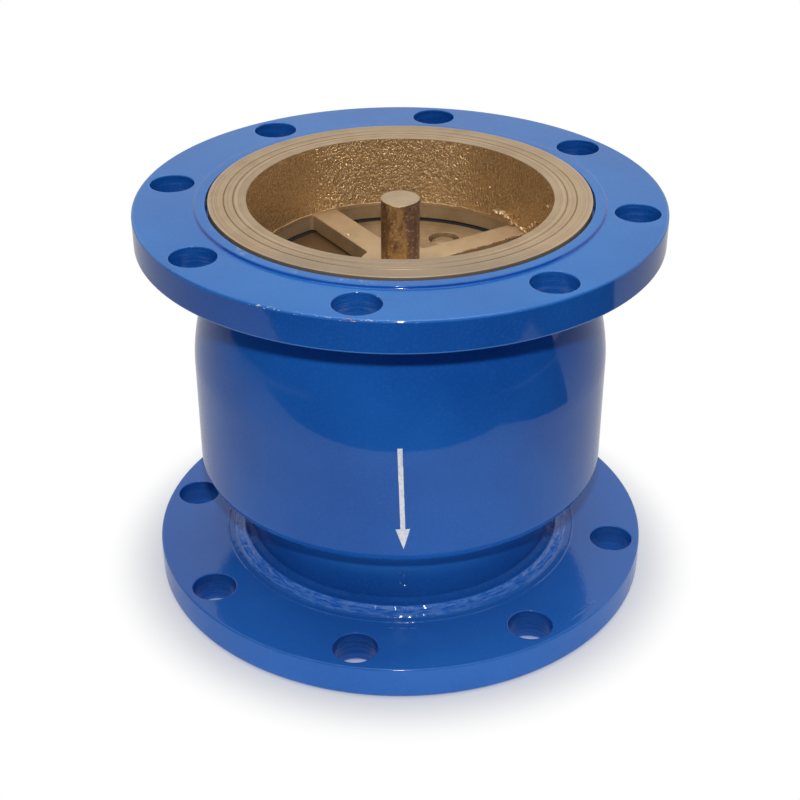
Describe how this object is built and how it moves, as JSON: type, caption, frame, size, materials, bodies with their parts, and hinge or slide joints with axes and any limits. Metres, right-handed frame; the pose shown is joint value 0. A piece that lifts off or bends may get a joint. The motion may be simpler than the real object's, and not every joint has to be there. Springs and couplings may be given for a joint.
{
  "type": "flanged axial check valve",
  "caption": "Double-flanged steel check valve with a bronze seat cage and a spring-loaded disc that slides on a guided stem to stop backflow.",
  "frame": {"origin": "centre of the outlet flange's raised face, on the flow axis, where the valve stands", "axes": "+Z along the flow axis towards the inlet, -Y the side of the barrel that carries the flow arrow"},
  "size_m": [0.271, 0.271, 0.2165],
  "materials": {
    "body_enamel": "gloss blue enamel on steel",
    "weld_enamel": "gloss blue enamel over a rippled weld",
    "cast_bronze": "sand-cast bronze, partly machined",
    "turned_bronze": "turned bronze, satin",
    "bronze_bar": "dull brown bronze bar",
    "seal_rubber": "matt black rubber",
    "gasket_fibre": "grey fibre sheet",
    "coated_iron": "grey coated casting",
    "stainless_wire": "bright spring wire",
    "stainless_steel": "satin stainless steel"
  },
  "bodies": {
    "housing": {"barrel_shell": "body_enamel", "inlet_flange": "body_enamel", "outlet_flange": "body_enamel", "inlet_weld_bead": "weld_enamel", "outlet_weld_bead": "weld_enamel", "seat": "cast_bronze", "seat_gasket": "gasket_fibre", "guide_spider": "coated_iron", "guide_bush": "bronze_bar", "spring": "stainless_wire"},
    "disc_assembly": {"stem": "bronze_bar", "disc": "cast_bronze", "disc_seal": "seal_rubber", "seal_retainer": "turned_bronze", "disc_washer": "stainless_steel", "stem_nut": "stainless_steel", "lock_nut": "stainless_steel", "retainer_screw_1": "turned_bronze", "retainer_screw_2": "turned_bronze", "retainer_screw_3": "turned_bronze", "retainer_screw_4": "turned_bronze"}
  },
  "joints": [
    {"name": "disc_lift", "type": "slide", "parent": "housing", "child": "disc_assembly", "axis": [0, 0, -1], "range_m": [0, 0.032], "stiffness_N_per_m": 5000, "springref_m": -0.03, "deforming": ["spring"]}
  ]
}
